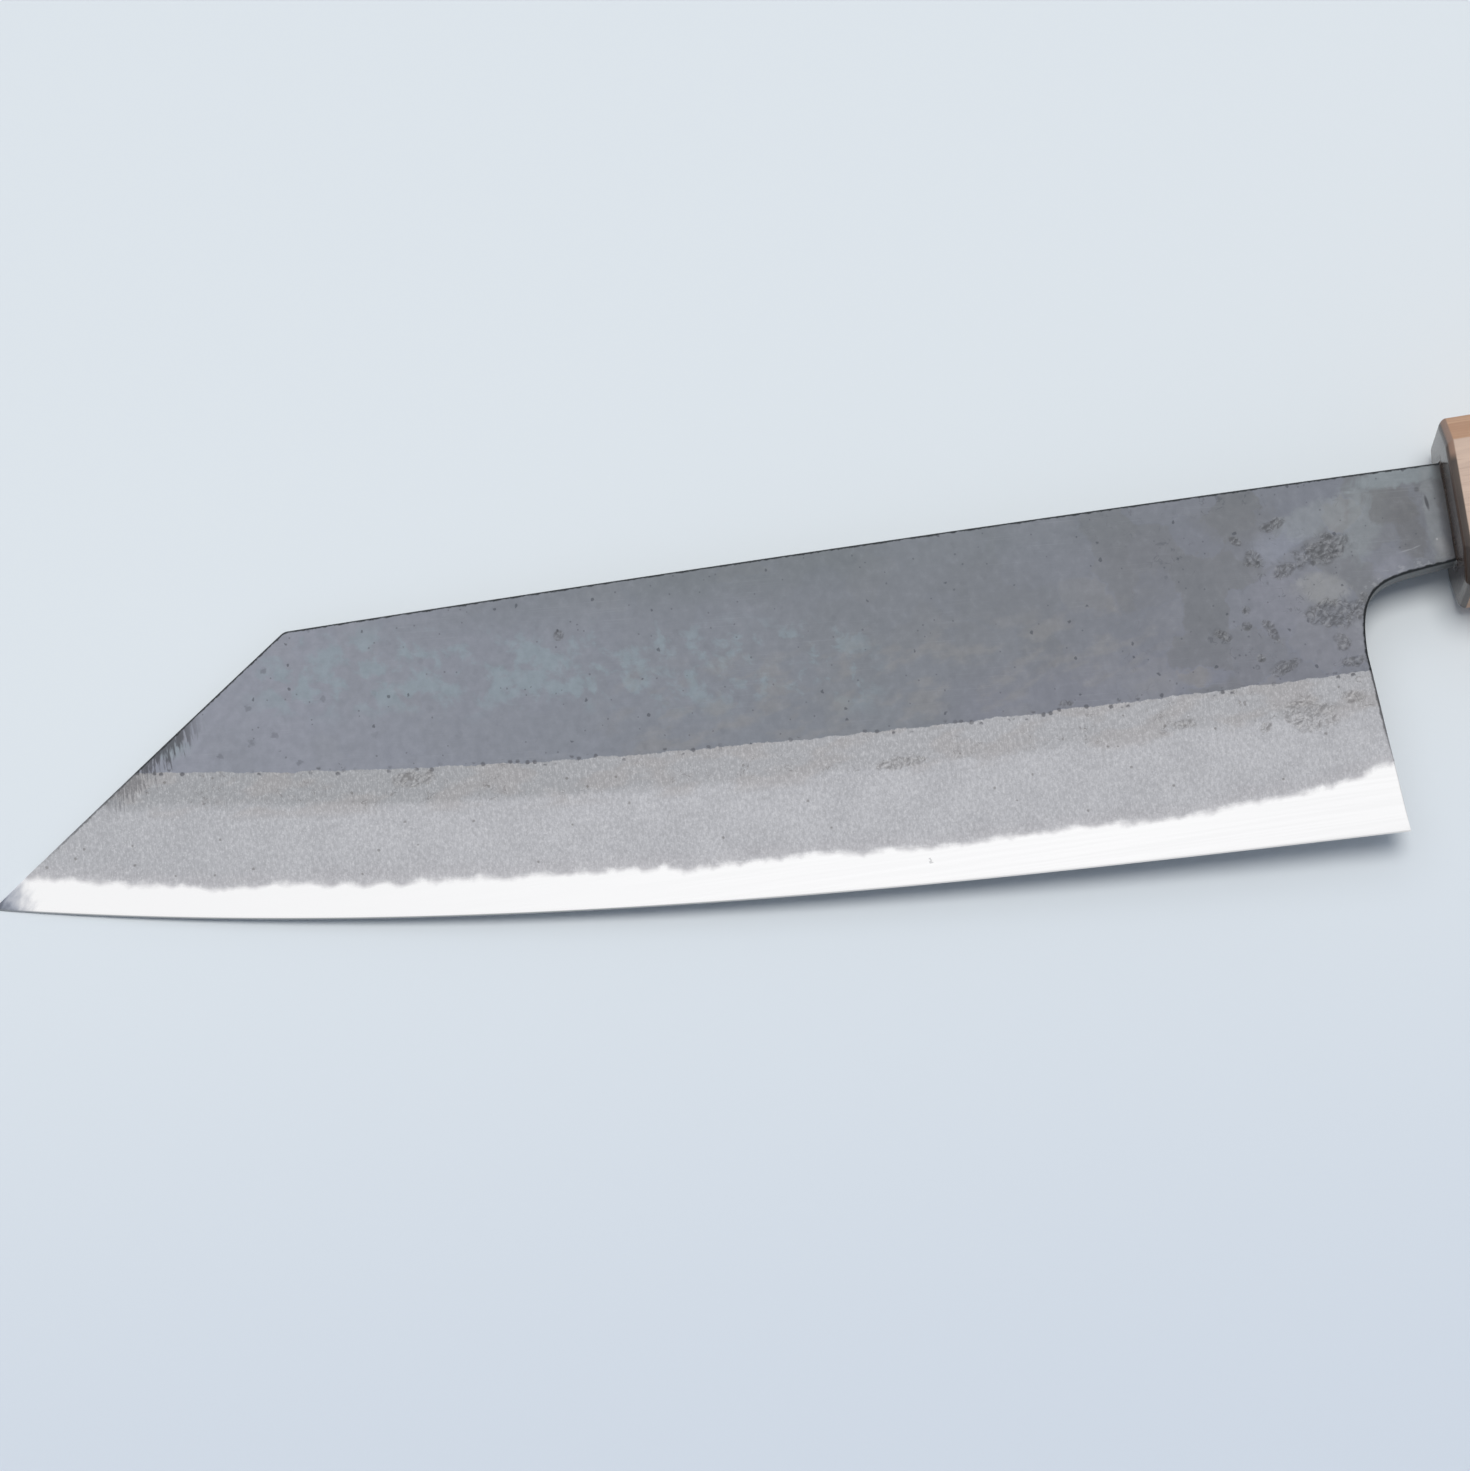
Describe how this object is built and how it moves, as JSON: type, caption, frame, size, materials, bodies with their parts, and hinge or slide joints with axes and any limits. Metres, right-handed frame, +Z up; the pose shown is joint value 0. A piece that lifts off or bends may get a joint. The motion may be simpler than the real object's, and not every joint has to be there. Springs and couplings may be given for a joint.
{
  "type": "bunka knife",
  "caption": "Forged three-layer kitchen knife with a clipped tip, dark scale flats, a ground bevel and an octagonal wooden handle, lying on its side.",
  "frame": {"origin": "on the surface the knife lies on, under the centre of its bounding box", "axes": "+X from the tip to the butt of the handle, +Y from the cutting edge to the spine, +Z up, away from the surface; the blade's left side faces up"},
  "size_m": [0.3234, 0.0528, 0.0285],
  "materials": {
    "core_steel": "polished hard steel, bright cutting edge",
    "cladding_iron": "black forge scale on the flats, hazy ground iron on the bevel",
    "ferrule_wood": "fine-grained reddish brown wood, satin",
    "handle_wood": "brown wood, oiled satin",
    "dowel_wood": "plain light wood, hidden inside",
    "seal_resin": "dark resin"
  },
  "bodies": {
    "root": {"core_steel": "core_steel", "cladding_left": "cladding_iron", "cladding_right": "cladding_iron", "ferrule": "ferrule_wood", "handle_body": "handle_wood", "tang_dowel_left": "dowel_wood", "tang_dowel_right": "dowel_wood", "mouth_seal": "seal_resin"}
  },
  "joints": []
}
